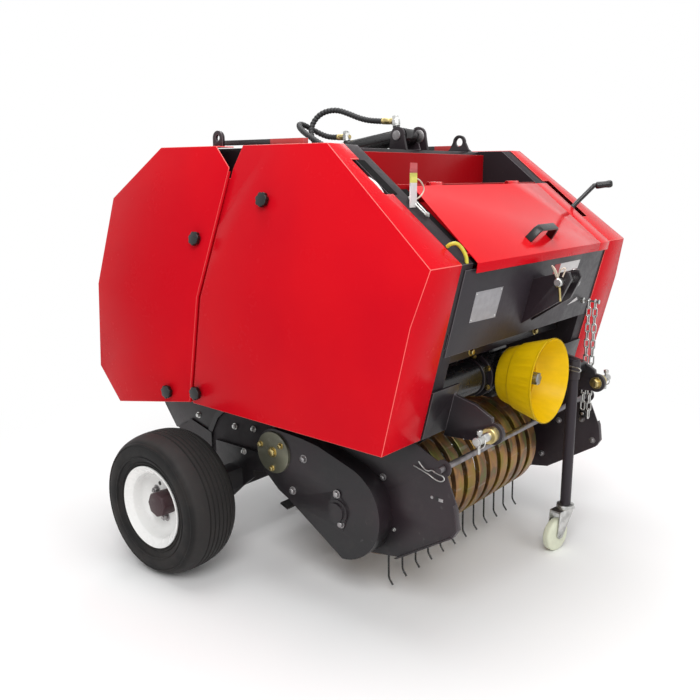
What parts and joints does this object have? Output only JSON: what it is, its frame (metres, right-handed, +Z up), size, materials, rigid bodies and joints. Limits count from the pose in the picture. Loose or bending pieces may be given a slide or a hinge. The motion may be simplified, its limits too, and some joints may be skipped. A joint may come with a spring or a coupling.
{
  "type": "round baler",
  "caption": "Compact round baler for a three-point linkage: sheet shields, tined pickup, roller bale chamber, hinged rear gate with lift cylinder, wheels and parking caster.",
  "frame": {"origin": "on the floor, in the middle of the bounding box", "axes": "+X to the machine's right seen from behind, -Y to the tractor, +Z up"},
  "size_m": [1.445, 1.296, 1.3212],
  "materials": {
    "shield_paint": "smooth gloss enamel",
    "frame_paint": "satin dark enamel",
    "zinc": "zinc plated",
    "chrome_rod": "polished",
    "yellow_plastic": "moulded",
    "band_paint": "zinc yellow passivated",
    "black_plastic": "moulded",
    "hose_rubber": "woven cover",
    "tyre_rubber": "ribbed",
    "rim_paint": "gloss white enamel",
    "caster_white": "moulded",
    "marker_paint": "bands of red, yellow and white"
  },
  "bodies": {
    "frame": {"side_plate_right": "frame_paint", "side_plate_left": "frame_paint", "front_plate": "frame_paint", "twine_tray": "shield_paint", "top_beam": "frame_paint", "lifting_eye_front": "frame_paint", "cross_beam": "frame_paint", "axle_beam": "frame_paint", "front_shield_right": "shield_paint", "front_shield_left": "shield_paint", "front_rollers": "frame_paint", "gearbox": "frame_paint", "pto_guard": "yellow_plastic", "top_link_clevis": "frame_paint", "lower_link_right": "frame_paint", "lower_link_left": "frame_paint", "stand_bracket": "frame_paint", "pickup_plate_right": "frame_paint", "pickup_plate_left": "frame_paint", "chain_guard": "frame_paint", "pickup_bands": "band_paint", "wind_guard_rod": "frame_paint", "gate_struts": "frame_paint", "knobs_front": "black_plastic", "density_lever": "black_plastic", "indicator": "marker_paint", "lift_chain": "zinc", "twine_guide": "yellow_plastic"},
    "wheel_right": {"tyre_right": "tyre_rubber", "rim_right": "rim_paint"},
    "wheel_left": {"tyre_left": "tyre_rubber", "rim_left": "rim_paint"},
    "gate": {"gate_plate_right": "frame_paint", "gate_plate_left": "frame_paint", "gate_shield_right": "shield_paint", "gate_shield_left": "shield_paint", "gate_rollers": "frame_paint", "gate_beam": "shield_paint", "gate_rear_tube": "frame_paint", "knobs_gate": "black_plastic", "lifting_eyes_gate": "frame_paint"},
    "lift_cylinder": {"cylinder_body": "frame_paint", "hose_front": "hose_rubber", "hose_rear": "hose_rubber", "hose_fittings": "zinc"},
    "lift_rod": {"cylinder_rod": "chrome_rod"},
    "lid": {"lid": "shield_paint", "lid_handle": "black_plastic"},
    "stand": {"stand_leg": "frame_paint"},
    "caster": {"caster_fork": "zinc"},
    "caster_wheel": {"caster_wheel": "caster_white"},
    "input_shaft": {"pto_shaft": "zinc"},
    "reel": {"pickup_reel": "frame_paint"}
  },
  "joints": [
    {"name": "wheel_right_spin", "type": "hinge", "parent": "frame", "child": "wheel_right", "pos_m": [0.64, 0.262, 0.205], "axis": [1, 0, 0], "continuous": true},
    {"name": "wheel_left_spin", "type": "hinge", "parent": "frame", "child": "wheel_left", "pos_m": [-0.64, 0.262, 0.205], "axis": [1, 0, 0], "continuous": true},
    {"name": "gate_lift", "type": "hinge", "parent": "frame", "child": "gate", "pos_m": [0, 0.116, 1.137], "axis": [1, 0, 0], "range_deg": [0, 55]},
    {"name": "cylinder_swing", "type": "hinge", "parent": "frame", "child": "lift_cylinder", "pos_m": [0, -0.095, 1.23], "axis": [1, 0, 0], "range_deg": [0, 32]},
    {"name": "rod_slide", "type": "slide", "parent": "lift_cylinder", "child": "lift_rod", "axis": [0, 0.9881, -0.1537], "range_m": [-0.112, 0]},
    {"name": "lid_hinge", "type": "hinge", "parent": "frame", "child": "lid", "pos_m": [0, -0.342, 1.095], "axis": [-1, 0, 0], "range_deg": [0, 115]},
    {"name": "stand_slide", "type": "slide", "parent": "frame", "child": "stand", "axis": [0, 0, 1], "range_m": [0, 0.24]},
    {"name": "caster_swivel", "type": "hinge", "parent": "stand", "child": "caster", "pos_m": [0.203, -0.567, 0.13], "axis": [0, 0, 1], "continuous": true},
    {"name": "caster_spin", "type": "hinge", "parent": "caster", "child": "caster_wheel", "pos_m": [0.15868, -0.55919, 0.05], "axis": [-0.1736, -0.9848, 0], "continuous": true},
    {"name": "input_spin", "type": "hinge", "parent": "frame", "child": "input_shaft", "pos_m": [0, -0.5, 0.567], "axis": [0, 1, 0], "continuous": true},
    {"name": "reel_spin", "type": "hinge", "parent": "frame", "child": "reel", "pos_m": [0, -0.24, 0.256], "axis": [1, 0, 0], "continuous": true}
  ],
  "couplings": [
    {"joint": "cylinder_swing", "follows": "gate_lift", "ratio": 0.5683},
    {"joint": "rod_slide", "follows": "gate_lift", "m_per_rad": -0.1153}
  ]
}
